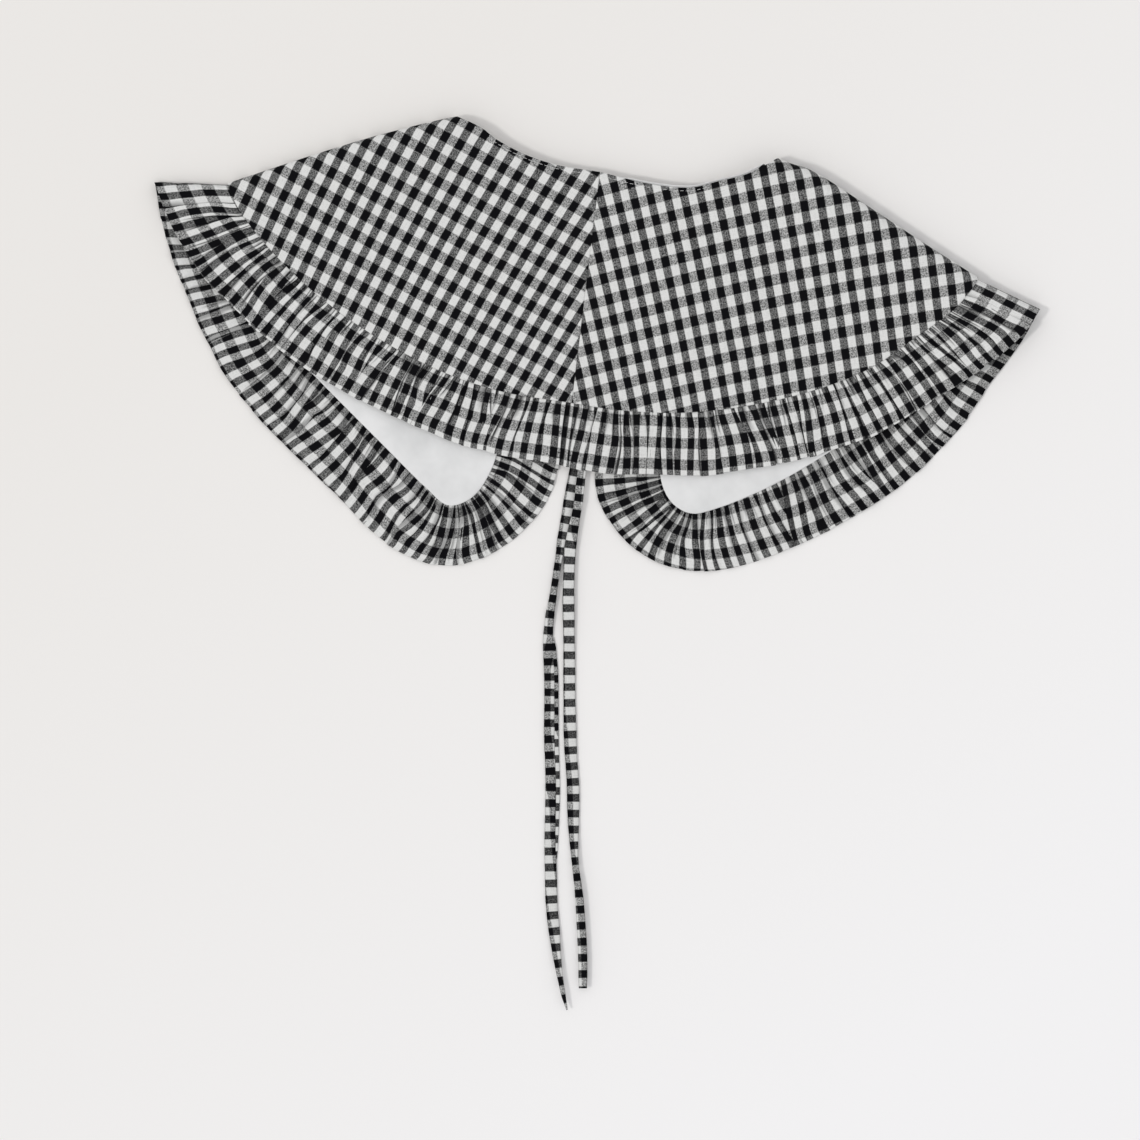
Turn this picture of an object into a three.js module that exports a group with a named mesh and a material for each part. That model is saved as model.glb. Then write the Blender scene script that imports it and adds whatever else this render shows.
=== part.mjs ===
// A detachable ruffled collar, lying flat with its back uppermost and its two front lobes folded underneath.
// Millimetres, +Z up, +Y from the hem towards the neck. The centre back seam runs along Y.
import * as THREE from "three";

// Sizes that can be set by themselves
const halfSpan = 228; // centre back seam to the end of a shoulder fold
const backDepth = 139; // neck edge to ruffle seam, down the centre back
const frontDepth = 209; // centre back neck to the ruffle seam at the foot of a lobe
const frontDrop = 58; // how far the front neck lies below the back neck
const frontShift = 10; // the front opening lies this far to the right of the centre back seam
const ruffleWidth = 38; // seam to hem
const tipReach = 42; // length of the ruffle's own fold at the end of a shoulder
const tieChannel = 15; // free width between the two front ruffles, where the ties run
const neckHollow = 6.5; // free height between back and front at the neck edge
const seamHollow = 3.5; // the same at the ruffle seam
const sag = 1; // how far the back sinks between the two folds
const cloth = 1; // thickness of one wall of cloth
const clearance = 0.3; // gap between pieces that meet
const gatherPitch = 20; // from one fold of the ruffle to the next, along the seam
const hemWave = 1.5; // half the height of the ruffle's folds at the hem
const seamWave = 0.35; // the same where they are gathered into the seam
const endFade = 14; // length over which the folds die away at an end or a shoulder fold
const tieWidth = 7.5;
const tieThickness = 1.6;

// How finely the cloth is divided
const backSteps = 14;
const foldSteps = 6;
const frontSteps = 28;
const rowSteps = 4;
const foldColumns = 5; // columns of the ruffle for each of its folds
const ruffleRows = 3;
const ruffleStop = 2; // columns left free at the front neck, where the tie is sewn on
const tieSteps = 48;

const stack = 2 * cloth + clearance; // one layer of the collar, shell and lining
const ruffleDepth = stack / 2; // the ruffle starts halfway between them
const lowHem = cloth / 2 + hemWave; // the front ruffle's hem rests on the table
const highHem = lowHem + 2 * hemWave + cloth + clearance; // and the back ruffle's on the front one

// The halves don't lie quite alike. Each outline starts at the middle of the shoulder fold.
// out: distance from the centre back seam, as a share of halfSpan
// down: distance below the centre back neck, as a share of the depth that the outline follows
// reach: distance from the edge of the tie channel, as a share of ruffleWidth
// width: how wide the ruffle lies there, as a share of ruffleWidth
const left = {
  name: "left",
  sign: -1,
  foldBow: 2.5, // how far the shoulder fold bulges outwards
  bowPeak: 0.4, // where it bulges most, as a share of the way down the fold
  tipTurn: 16, // degrees that the ruffle's fold turns up from the line of the shoulder fold
  backNeck: [
    { out: 0.377, down: -0.122 },
    { out: 0.33, down: -0.118 },
    { out: 0.281, down: -0.081 },
    { out: 0.206, down: -0.038 },
    { out: 0.114, down: -0.007 },
    { out: 0, down: 0 },
  ],
  backSeam: [
    { out: 0.96, down: 0.266, width: 1.1 },
    { out: 0.923, down: 0.359, width: 1.09 },
    { out: 0.789, down: 0.565, width: 1.06 },
    { out: 0.622, down: 0.745, width: 1.03 },
    { out: 0.391, down: 0.912, width: 0.96 },
    { out: 0.197, down: 0.985, width: 0.97 },
    { out: 0, down: 1, width: 1.01 },
  ],
  frontNeck: [
    { out: 0.325, down: 0.09 },
    { out: 0.241, down: 0.52 },
    { out: 0.145, down: 0.83 },
  ],
  frontNeckEnd: { reach: 0.1, down: 1 },
  lobe: [
    { out: 0.921, down: 0.325, width: 1.05 },
    { out: 0.789, down: 0.579, width: 1.02 },
    { out: 0.675, down: 0.682, width: 1.1 },
    { out: 0.463, down: 0.864, width: 1.08 },
    { out: 0.351, down: 0.959, width: 1.08 },
    { out: 0.289, down: 1, width: 0.96 },
    { out: 0.232, down: 0.971, width: 0.92 },
  ],
  opening: [
    { reach: 1.224, down: 0.895, width: 1 },
    { reach: 1.09, down: 0.766, width: 1 },
    { reach: 0.987, down: 0.598, width: 1 },
    { reach: 0.7, down: 0.45, width: 1 },
    { reach: 0.3, down: 0.34, width: 1 },
    { reach: 0.1, down: 0.278, width: 1 },
  ],
};
const right = {
  name: "right",
  sign: 1,
  foldBow: 2.5,
  bowPeak: 0.13,
  tipTurn: 6,
  backNeck: [
    { out: 0.476, down: -0.112 },
    { out: 0.435, down: -0.118 },
    { out: 0.386, down: -0.075 },
    { out: 0.314, down: -0.027 },
    { out: 0.24, down: 0.018 },
    { out: 0.13, down: 0.025 },
    { out: 0, down: 0 },
  ],
  backSeam: [
    { out: 1.013, down: 0.278, width: 1.08 },
    { out: 0.97, down: 0.386, width: 1.03 },
    { out: 0.871, down: 0.541, width: 0.97 },
    { out: 0.762, down: 0.698, width: 0.98 },
    { out: 0.564, down: 0.861, width: 1 },
    { out: 0.312, down: 0.978, width: 0.99 },
    { out: 0.13, down: 1.005, width: 1.01 },
    { out: 0, down: 1, width: 1.01 },
  ],
  frontNeck: [
    { out: 0.421, down: 0.1 },
    { out: 0.342, down: 0.52 },
    { out: 0.237, down: 0.84 },
  ],
  frontNeckEnd: { reach: 0.1, down: 1 },
  lobe: [
    { out: 0.952, down: 0.359, width: 0.98 },
    { out: 0.868, down: 0.517, width: 1.01 },
    { out: 0.768, down: 0.636, width: 1.08 },
    { out: 0.567, down: 0.816, width: 1.04 },
    { out: 0.405, down: 0.918, width: 0.96 },
    { out: 0.346, down: 0.938, width: 0.9 },
    { out: 0.294, down: 0.914, width: 0.94 },
  ],
  opening: [
    { reach: 1.09, down: 0.852, width: 1.03 },
    { reach: 1.04, down: 0.742, width: 1.02 },
    { reach: 0.934, down: 0.584, width: 1 },
    { reach: 0.66, down: 0.45, width: 1 },
    { reach: 0.3, down: 0.34, width: 1 },
    { reach: 0.1, down: 0.278, width: 1 },
  ],
};

// The ties' routes, laid by hand. They leave the front neck, run between the lobes, one on the other,
// and end on the table.
const tieRoutes = {
  left: [
    [-4.2, -63.7, 1.15],
    [1.8, -67.3, 1],
    [5.9, -72.5, 0.9],
    [7.9, -80, 0.9],
    [8.6, -90, 0.9],
    [9, -106, 0.9],
    [9.5, -134, 0.9],
    [9, -160, 0.9],
    [8, -180, 0.9],
    [6.6, -205, 0.9],
    [4.8, -226, 0.9],
    [3.4, -242, 0.9],
    [3.3, -262, 0.9],
    [4.6, -282, 0.9],
    [8.1, -303.4, 0.9],
    [12.7, -341, 0.9],
    [17, -369.5, 0.9],
    [20.7, -407.9, 0.9],
    [24.2, -436.1, 0.9],
    [28.5, -455.9, 0.9],
    [33.1, -474.8, 0.9],
    [38, -491, 0.9],
    [41.6, -500.6, 0.9],
  ],
  right: [
    [24.2, -63.7, 1.25],
    [18.2, -67.3, 1.9],
    [14, -72.5, 2.6],
    [12.2, -80, 2.8],
    [12, -90, 2.8],
    [11.6, -106, 2.8],
    [10.8, -134, 2.8],
    [9.8, -160, 2.8],
    [9, -180, 2.8],
    [9.6, -202.5, 2.8],
    [10.2, -222, 2.8],
    [10.8, -240, 2.8],
    [12.4, -256, 2.7],
    [14.6, -272, 2.1],
    [17, -289.5, 1.3],
    [19.3, -307.9, 1.15],
    [24.7, -345.4, 1.15],
    [28.5, -365.3, 1.15],
    [32.4, -393.5, 1.15],
    [35.7, -412.5, 1.15],
    [40.3, -431.4, 1.15],
    [44, -450.3, 1.15],
    [47.1, -468.5, 1.15],
    [49.4, -486.6, 1.15],
  ],
};

// Materials
const gingham = new THREE.MeshStandardMaterial({ color: 0x8c8c8e, roughness: 0.9, metalness: 0 });
const liningCotton = new THREE.MeshStandardMaterial({ color: 0xdedede, roughness: 0.92, metalness: 0 });

// Small helpers
const lerp = THREE.MathUtils.lerp;

function smoothStep(share) {
  return THREE.MathUtils.smoothstep(share, 0, 1);
}

function between(a, b, share) {
  return a.clone().lerp(b, share);
}

// Points of the outlines in plan. Along a seam the third coordinate carries the width of the ruffle.
function backPoint(side, { out, down, width = 0 }) {
  const x = side.sign * (clearance / 2 + out * halfSpan);
  return new THREE.Vector3(x, -down * backDepth, width * ruffleWidth);
}

function frontPoint(side, { out, down, width = 0 }, depth) {
  return new THREE.Vector3(side.sign * out * halfSpan, -down * depth, width * ruffleWidth);
}

function openingPoint(side, { reach, down, width = 0 }, depth) {
  const x = frontShift + side.sign * (tieChannel / 2 + reach * ruffleWidth);
  return new THREE.Vector3(x, -down * depth, width * ruffleWidth);
}

function smoothCurve(points) {
  return new THREE.CatmullRomCurve3(points, false, "centripetal");
}

// A half's outlines in plan, each from the middle of its shoulder fold to the centre, as rows of points.
// Where a table's rows lie closer together, the points do too.
function outlinesOf(side) {
  const foldNeck = backPoint(side, side.backNeck[0]);
  const foldSeam = backPoint(side, side.backSeam[0]);
  const backNeck = smoothCurve(side.backNeck.map((row) => backPoint(side, row)));
  const backSeam = smoothCurve(side.backSeam.map((row) => backPoint(side, row)));
  const frontNeck = smoothCurve([
    foldNeck,
    ...side.frontNeck.map((row) => frontPoint(side, row, frontDrop)),
    openingPoint(side, side.frontNeckEnd, frontDrop),
  ]);
  const frontSeam = smoothCurve([
    foldSeam,
    ...side.lobe.map((row) => frontPoint(side, row, frontDepth)),
    ...side.opening.map((row) => openingPoint(side, row, frontDepth)),
  ]);
  const foldLine = foldSeam.clone().sub(foldNeck).setZ(0).normalize();
  const foldOut = new THREE.Vector3(-foldLine.y, foldLine.x, 0).multiplyScalar(side.sign);
  return {
    foldNeck,
    foldSeam,
    foldLine,
    foldOut,
    backNeck: backNeck.getPoints(backSteps),
    backSeam: backSeam.getPoints(backSteps),
    frontNeck: frontNeck.getPoints(frontSteps),
    frontSeam: frontSeam.getPoints(frontSteps),
  };
}

// The columns of a half, from the centre back seam over the shoulder fold to the front opening
function columnsOf() {
  const columns = [];
  for (let step = backSteps; step > 0; step -= 1) columns.push({ zone: "back", step });
  for (let step = 0; step <= foldSteps; step += 1) {
    columns.push({ zone: "fold", angle: Math.PI * (0.5 - step / foldSteps) });
  }
  for (let step = 1; step <= frontSteps; step += 1) columns.push({ zone: "front", step });
  return columns;
}

function hollowAt(down) {
  return lerp(neckHollow, seamHollow, down);
}

function sagAt(step) {
  return sag * smoothStep(step / backSteps);
}

// A point of the folded collar. down runs from the neck edge (0) to the ruffle seam (1),
// and depth is measured outwards from the hollow between back and front.
function collarPoint(side, outlines, column, down, depth) {
  const { foldNeck, foldSeam, foldOut } = outlines;
  const bow = side.foldBow * Math.sin(Math.PI * down ** (Math.log(0.5) / Math.log(side.bowPeak)));
  const hollow = hollowAt(down);
  if (column.zone === "fold") {
    const radius = hollow / 2 + depth;
    const point = between(foldNeck, foldSeam, down);
    point.addScaledVector(foldOut, bow + radius * Math.cos(column.angle));
    return point.setZ(stack + hollow / 2 + radius * Math.sin(column.angle));
  }
  const back = column.zone === "back";
  const neck = back ? outlines.backNeck : outlines.frontNeck;
  const seam = back ? outlines.backSeam : outlines.frontSeam;
  const share = column.step / (back ? backSteps : frontSteps);
  const point = between(neck[column.step], seam[column.step], down);
  point.addScaledVector(foldOut, bow * (1 - share) ** 4);
  return point.setZ(back ? stack + hollow - sagAt(column.step) + depth : stack - depth);
}

// A closed solid between two grids of points that have as many rows and columns
function solidBetween(inner, outer) {
  const rows = inner.length;
  const columns = inner[0].length;
  const points = [...inner.flat(), ...outer.flat()];
  const at = (layer, row, column) => (layer * rows + row) * columns + column;
  const faces = [];
  const quad = (a, b, c, d) => faces.push([a, b, c], [a, c, d]);
  for (let row = 0; row < rows - 1; row += 1) {
    for (let column = 0; column < columns - 1; column += 1) {
      const corners = [
        [row, column],
        [row, column + 1],
        [row + 1, column + 1],
        [row + 1, column],
      ];
      quad(...corners.map(([r, c]) => at(1, r, c)));
      quad(...corners.reverse().map(([r, c]) => at(0, r, c)));
    }
  }
  const rim = [];
  for (let column = 0; column < columns - 1; column += 1) rim.push([0, column]);
  for (let row = 0; row < rows - 1; row += 1) rim.push([row, columns - 1]);
  for (let column = columns - 1; column > 0; column -= 1) rim.push([rows - 1, column]);
  for (let row = rows - 1; row > 0; row -= 1) rim.push([row, 0]);
  rim.forEach(([row, column], index) => {
    const [nextRow, nextColumn] = rim[(index + 1) % rim.length];
    quad(at(0, row, column), at(0, nextRow, nextColumn), at(1, nextRow, nextColumn), at(1, row, column));
  });
  const volume = faces.reduce((sum, [a, b, c]) => sum + points[a].dot(points[b].clone().cross(points[c])), 0);
  const outward = volume < 0 ? faces.map((face) => face.reverse()) : faces;
  const geometry = new THREE.BufferGeometry().setFromPoints(points).setIndex(outward.flat());
  geometry.computeVertexNormals();
  return geometry;
}

// One wall of the folded collar: the shell outside or the lining inside
function wallOf(side, outlines, depth) {
  const columns = columnsOf();
  const grid = (at) =>
    Array.from({ length: rowSteps + 1 }, (_, row) =>
      columns.map((column) => collarPoint(side, outlines, column, row / rowSteps, at)),
    );
  return solidBetween(grid(depth), grid(depth + cloth));
}

// Outward directions in plan along an outline, square to it
function outwardAlong(side, points) {
  return points.map((_, index) => {
    const before = points[Math.max(0, index - 1)];
    const after = points[Math.min(points.length - 1, index + 1)];
    const tangent = after.clone().sub(before).setZ(0).normalize();
    return new THREE.Vector3(tangent.y, -tangent.x, 0).multiplyScalar(-side.sign);
  });
}

// How far a front ruffle can reach from its seam before it comes to the channel of the ties
function roomBeside(side, seam, out) {
  const inwards = -side.sign * out.x;
  const edge = frontShift + (side.sign * tieChannel) / 2;
  return inwards > 0 ? (side.sign * (seam.x - edge)) / inwards : Infinity;
}

// The ruffle's inner edge and its hem at each column of the collar, halfway through its wall
function ruffleLines(side, outlines) {
  const { foldSeam, foldLine, foldOut } = outlines;
  const tipAngle = side.sign * THREE.MathUtils.degToRad(side.tipTurn);
  const tip = foldLine.clone().applyAxisAngle(new THREE.Vector3(0, 0, 1), tipAngle);
  const seamRadius = seamHollow / 2 + ruffleDepth;
  const seamMiddle = stack + seamHollow / 2;
  const hemRadius = (highHem - lowHem) / 2;
  const hemMiddle = (highHem + lowHem) / 2;
  const backOut = outwardAlong(side, outlines.backSeam);
  const frontOut = outwardAlong(side, outlines.frontSeam);
  backOut[backSteps].set(0, -1, 0);
  return columnsOf().map((column) => {
    if (column.zone === "fold") {
      const aside = Math.cos(column.angle);
      const up = Math.sin(column.angle);
      const turn = (radius, height) =>
        foldSeam.clone().addScaledVector(foldOut, radius * aside).setZ(height + radius * up);
      return {
        seam: turn(seamRadius, seamMiddle).addScaledVector(tip, clearance),
        hem: turn(hemRadius, hemMiddle).addScaledVector(tip, tipReach),
        thick: new THREE.Vector3(0, 0, up).addScaledVector(foldOut, aside),
        size: 1,
      };
    }
    const back = column.zone === "back";
    const steps = back ? backSteps : frontSteps;
    const base = (back ? outlines.backSeam : outlines.frontSeam)[column.step];
    const blend = smoothStep((column.step / steps) * (back ? 5 : 8));
    const out = tip.clone().lerp((back ? backOut : frontOut)[column.step], blend).normalize();
    const width = back ? base.z : Math.min(base.z, roomBeside(side, base, out));
    const reach = lerp(tipReach, width, blend);
    const seamHeight = back ? stack + seamHollow - sagAt(column.step) + ruffleDepth : stack - ruffleDepth;
    return {
      seam: base.clone().addScaledVector(out, clearance).setZ(seamHeight),
      hem: base.clone().addScaledVector(out, reach).setZ(back ? highHem : lowHem),
      thick: new THREE.Vector3(0, 0, back ? 1 : -1),
      size: Math.min(1, width / ruffleWidth),
    };
  });
}

// The ruffle: a strip from seam to hem whose folds start small at the seam and grow towards the hem
function ruffleOf(side, outlines) {
  const lines = ruffleLines(side, outlines).slice(0, -ruffleStop);
  const folded = columnsOf().map((column) => column.zone === "fold");
  const middles = lines.map((line) => between(line.seam, line.hem, 0.5));
  const places = [0];
  for (let index = 1; index < lines.length; index += 1) {
    places.push(places[index - 1] + middles[index].distanceTo(middles[index - 1]));
  }
  const foldStart = places[folded.indexOf(true)];
  const foldEnd = places[folded.lastIndexOf(true)];
  const length = places[places.length - 1];
  const fade = (along) => {
    const nearest = Math.min(along, Math.max(foldStart - along, along - foldEnd), length - along);
    return smoothStep(nearest / endFade);
  };
  const wave = (along) => {
    const turns = (2 * Math.PI * along) / gatherPitch;
    return Math.sin(turns + 0.9 * Math.sin(turns / 4.3 + side.sign));
  };
  const grid = (depth) =>
    Array.from({ length: ruffleRows + 1 }, (_, row) => {
      const share = row / ruffleRows;
      const points = [];
      lines.forEach((line, index) => {
        const next = lines[index + 1];
        const stretch = next ? (places[index + 1] - places[index]) * (foldColumns / gatherPitch) : 0;
        const finer = folded[index] && folded[index + 1] ? 1 : Math.max(1, Math.ceil(stretch));
        for (let step = 0; step < finer; step += 1) {
          const part = step / finer;
          const target = next ?? line;
          const seam = between(line.seam, target.seam, part);
          const hem = between(line.hem, target.hem, part);
          const along = lerp(places[index], places[index + 1] ?? places[index], part);
          const height = lerp(seamWave, hemWave, share) * lerp(line.size, target.size, part);
          const point = between(seam, hem, share);
          point.z += height * fade(along) * wave(along);
          points.push(point.addScaledVector(between(line.thick, target.thick, part).normalize(), depth));
        }
      });
      return points;
    });
  return solidBetween(grid(-cloth / 2), grid(cloth / 2));
}

// A tie: a flat sewn strip along its route
function tieOf(route) {
  const path = smoothCurve(route.map((point) => new THREE.Vector3(...point)));
  const halfWidth = tieWidth / 2;
  const halfThickness = tieThickness / 2;
  const corner = halfThickness / 2;
  const section = new THREE.Shape([
    new THREE.Vector2(halfThickness, -halfWidth + corner),
    new THREE.Vector2(halfThickness, halfWidth - corner),
    new THREE.Vector2(corner, halfWidth),
    new THREE.Vector2(-corner, halfWidth),
    new THREE.Vector2(-halfThickness, halfWidth - corner),
    new THREE.Vector2(-halfThickness, -halfWidth + corner),
    new THREE.Vector2(-corner, -halfWidth),
    new THREE.Vector2(corner, -halfWidth),
  ]);
  return new THREE.ExtrudeGeometry(section, { steps: tieSteps, extrudePath: path });
}

// Assembly
const collar = new THREE.Group();
const ties = new THREE.Group();

function add(group, name, geometry, material) {
  const mesh = new THREE.Mesh(geometry, material);
  mesh.name = name;
  group.add(mesh);
}

for (const side of [left, right]) {
  const outlines = outlinesOf(side);
  add(collar, `${side.name}_shell`, wallOf(side, outlines, cloth + clearance), gingham);
  add(collar, `${side.name}_lining`, wallOf(side, outlines, 0), liningCotton);
  add(collar, `${side.name}_ruffle`, ruffleOf(side, outlines), gingham);
  add(ties, `${side.name}_tie`, tieOf(tieRoutes[side.name]), gingham);
}

// The origin is under the middle of the collar, without its ties, on the surface that it lies on.
const bounds = new THREE.Box3().setFromObject(collar);
const middle = bounds.getCenter(new THREE.Vector3());
const part = new THREE.Group();
part.add(collar, ties);
part.position.set(-middle.x, -middle.y, -bounds.min.z);

export default part;
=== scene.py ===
"""A detachable ruffled collar in black and white gingham, lying flat with its back uppermost.

Lengths are millimetres in the collar's own plan, measured from the neck edge at the centre back,
until place() turns them into metres in the frame of the solids.
"""

import math
import random
from dataclasses import dataclass

import bmesh
import bpy
import numpy as np
from mathutils import Matrix, Vector


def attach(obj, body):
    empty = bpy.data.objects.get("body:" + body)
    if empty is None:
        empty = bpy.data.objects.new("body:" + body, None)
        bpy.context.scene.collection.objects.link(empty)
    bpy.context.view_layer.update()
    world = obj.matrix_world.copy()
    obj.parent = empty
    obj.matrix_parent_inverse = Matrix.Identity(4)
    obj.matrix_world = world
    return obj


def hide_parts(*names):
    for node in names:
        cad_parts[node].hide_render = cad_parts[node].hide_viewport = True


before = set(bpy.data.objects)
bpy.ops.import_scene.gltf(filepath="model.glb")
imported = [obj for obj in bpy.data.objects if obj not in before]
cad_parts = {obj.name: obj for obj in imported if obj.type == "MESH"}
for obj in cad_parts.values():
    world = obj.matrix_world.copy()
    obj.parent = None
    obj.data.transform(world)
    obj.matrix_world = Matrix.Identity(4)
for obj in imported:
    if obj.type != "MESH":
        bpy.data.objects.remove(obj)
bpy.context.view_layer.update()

# Where the centre back neck lies in the frame of the solids
NECK_X = -5.184
NECK_Y = 111.626

# Cloth
CLOTH = 0.5
HALF_SPAN = 228
STACK = 2.3  # one layer of the collar, shell and lining
NECK_HOLLOW = 6.5  # room between back and front at the neck
SEAM_HOLLOW = 3.5  # and at the seam of the ruffle
SAG = 1.0
SPRUNG_SHARE = 0.35  # how much of the back a sprung fold lifts
SHELL_DEPTH = 2.0
LINING_DEPTH = 0.3
EDGE_ROLL = 0.75
LOWEST = 0.27  # middle of the cloth where it rests on the surface
CHECK_SHORT = 9.5  # repeat of the check along the shorter side
CHECK_LONG = 12.9
GINGHAM_THREADS = (26, 34, 1)  # in one repeat
LINING_THREADS = (30, 38, 1)

# Ruffle
RUFFLE_DEPTH = 1.15
HIGH_HEM = 5.1
LOW_HEM = 1.25
CHANNEL = (2.5, 17.5)  # the ties run between these two lines
RUFFLE_CLOTH = 0.3
RUFFLE_LOWEST = 0.25

# Colours
BLACK = (0.0036, 0.0036, 0.0046, 1)
WHITE = (0.74, 0.74, 0.728, 1)
# colour of the painted shade that darkens the gingham in creases, along the ruffles' seams and at the ties'
# edges
PAINTED_SHADE_COLOUR = (0.003, 0.003, 0.004, 1)
# the lining runs between these two: its weave, and painted light and shade of faint wrinkles in broad
# patches
LINING_SHADES = ((0.665, 0.668, 0.668, 1), (0.8, 0.8, 0.8, 1))
THREAD_SHADES = ((0.62, 0.62, 0.61, 1), (0.82, 0.82, 0.81, 1))
# the floor runs between these two, lighter and cooler towards the lower right: painted light
SURFACE_SHADES = ((0.832, 0.81, 0.785, 1), (0.895, 0.887, 0.892, 1))


# Small helpers
def place(points):
    """Plan millimetres to metres in the frame of the solids."""
    return (np.asarray(points, float) + (NECK_X, NECK_Y, 0)) / 1000


def smooth(share):
    share = np.clip(share, 0, 1)
    return share * share * (3 - 2 * share)


def spans(rows):
    return np.linalg.norm(np.diff(rows, axis=0), axis=1)


def running(steps):
    return np.concatenate([[0], np.cumsum(steps)])


def unit(rows):
    return rows / np.linalg.norm(rows, axis=1)[:, None]


def look_up(where, places, rows):
    """Every column of the rows at these places."""
    return np.stack([np.interp(where, places, column) for column in rows.T], axis=-1)


def ripple(x, y, scale, seed):
    """Slow, even bumps of about one either way, like a few crossing waves."""
    draw = random.Random(seed)
    total = 0
    for _ in range(5):
        turn = draw.uniform(0, 2 * math.pi)
        pace = draw.uniform(0.6, 1.5) / scale
        start = draw.uniform(0, 2 * math.pi)
        total = total + np.sin(2 * math.pi * pace * (x * math.cos(turn) + y * math.sin(turn)) + start)
    return total / 2.5


class Half:
    """One half of the collar. Each row of an outline is a point in plan: distance out from the centre back
    seam, and y. The rows of a seam also hold how wide the ruffle lies there.

    slant, bow: how the shoulder fold leans and bulges. spring: how far it stands up. tip: how far the ruffle
    turns and reaches past the fold. checks: direction, repeat and start of the check, first the short way.
    drape: how the cloth lies out of square. first_check, hem_rows: how the check lies along and across the
    ruffle.
    """

    def __init__(
        self, name, sign, slant, spring, bow, tip, checks, drape, first_check, hem_rows, neck, seam,
        front_neck, lobe,
    ):
        self.name = name
        self.sign = sign
        self.slant = slant
        self.spring = spring
        self.bow = Curve(bow)
        self.tip_turn, self.tip_reach = tip
        self.checks = checks
        self.drape = drape
        self.first_check = first_check
        self.hem_rows = hem_rows
        self.neck = Curve(self.plan(neck))
        self.seam = Curve(self.plan(seam))
        self.front_neck = Curve(self.plan([neck[0]] + front_neck))
        self.front_seam = Curve(self.plan([seam[0]] + lobe))
        self.fold_seam = self.seam.at(0)[:2]
        line = self.fold_seam - self.neck.at(0)[:2]
        self.fold_line = line / np.linalg.norm(line)
        self.fold_out = np.array((-self.fold_line[1], self.fold_line[0])) * sign
        self.fold_neck = self.neck.at(0)[:2] + self.fold_line * slant
        self.fold_length = np.linalg.norm(self.fold_seam - self.fold_neck)

    def plan(self, rows):
        return [(self.sign * row[0], *row[1:]) for row in rows]

    def raised(self, share):
        """How far the back stands up beside the fold, which springs open a little."""
        return self.spring * (1 - smooth(share / SPRUNG_SHARE))

    def hollow(self, down, share):
        """The room between back and front, at this share of the way from neck to seam."""
        return NECK_HOLLOW + (SEAM_HOLLOW - NECK_HOLLOW) * down + self.raised(share)

    def drawn_in(self, share):
        """How far the edges move in plan, so that the sprung fold keeps its outline."""
        return np.multiply.outer((1 - np.asarray(share)) ** 4, self.fold_out) * self.spring / 2

    def bulge(self, along):
        """How far the fold bows outwards at this distance from the neck."""
        share = min(max(along / self.fold_length, 0), 1)
        return float(np.interp(share, self.bow.samples[:, 0], self.bow.samples[:, 1]))


class Curve:
    """A smooth curve through points, looked up by its share of the length, which is measured in plan."""

    def __init__(self, points, fine=24, measured=2):
        points = np.array(points, float)
        ends = (2 * points[0] - points[1], 2 * points[-1] - points[-2])
        ring = np.vstack([ends[0], points, ends[1]])
        knots = running(np.maximum(np.sqrt(spans(ring)), 1e-6))
        samples = []
        for index in range(1, len(ring) - 2):
            t0, t1, t2, t3 = knots[index - 1 : index + 3]
            p0, p1, p2, p3 = ring[index - 1 : index + 3]
            for t in np.linspace(t1, t2, fine, endpoint=False):
                a1 = p0 + (p1 - p0) * (t - t0) / (t1 - t0)
                a2 = p1 + (p2 - p1) * (t - t1) / (t2 - t1)
                a3 = p2 + (p3 - p2) * (t - t2) / (t3 - t2)
                b1 = a1 + (a2 - a1) * (t - t0) / (t2 - t0)
                b2 = a2 + (a3 - a2) * (t - t1) / (t3 - t1)
                samples.append(b1 + (b2 - b1) * (t - t1) / (t2 - t1))
        samples.append(points[-1])
        self.samples = np.array(samples)
        self.places = running(spans(self.samples[:, :measured]))
        self.length = self.places[-1]

    def at(self, share):
        return look_up(np.asarray(share) * self.length, self.places, self.samples)


LEFT = Half(
    "left",
    -1,
    slant=6.2,
    spring=0.6,
    bow=[(0, 0), (0.1, 1.2), (0.2, 1.8), (0.4, 2.5), (0.63, 1.9), (0.85, 0.8), (1, 0)],
    tip=(19, 44.5),
    checks=(-22.6, 9.41, 0.845, 68.45, 12.86, 0.546),
    drape=(-100, -0.155, 0.22, -0.75, 0, 0),
    first_check=-0.17,
    hem_rows=[
        (0, 0.75), (0.2, 0.62), (0.33, 0.45), (0.42, 0.12), (0.62, 0.08), (0.7, -0.15), (0.8, -0.28),
        (0.9, -0.42), (1, -0.5),
    ],
    neck=[(80.9, 20.4), (73.2, 17.4), (64.2, 12), (47.1, 5.3), (26.1, 1), (0.1, 0)],
    seam=[
        (219, -37, 42), (210.6, -49.9, 41.4), (180, -78.5, 40.3), (142, -103.6, 39.1),
        (89.3, -126.8, 36.5), (45.1, -136.9, 36.9), (0.1, -139, 38.4),
    ],
    front_neck=[(74.1, -5.2), (54.9, -30.2), (33.1, -48.1), (1.3, -58)],
    lobe=[
        (210, -67.9, 39.9), (179.9, -121, 38.8), (153.9, -142.5, 41.8), (105.6, -180.6, 41),
        (80, -200.4, 41), (65.9, -209, 36.5), (52.9, -202.9, 35), (44, -187.1, 38), (38.9, -160.1, 38),
        (35, -125, 38), (24.1, -94.1, 38), (8.9, -71.1, 38),
    ],
)
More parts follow.
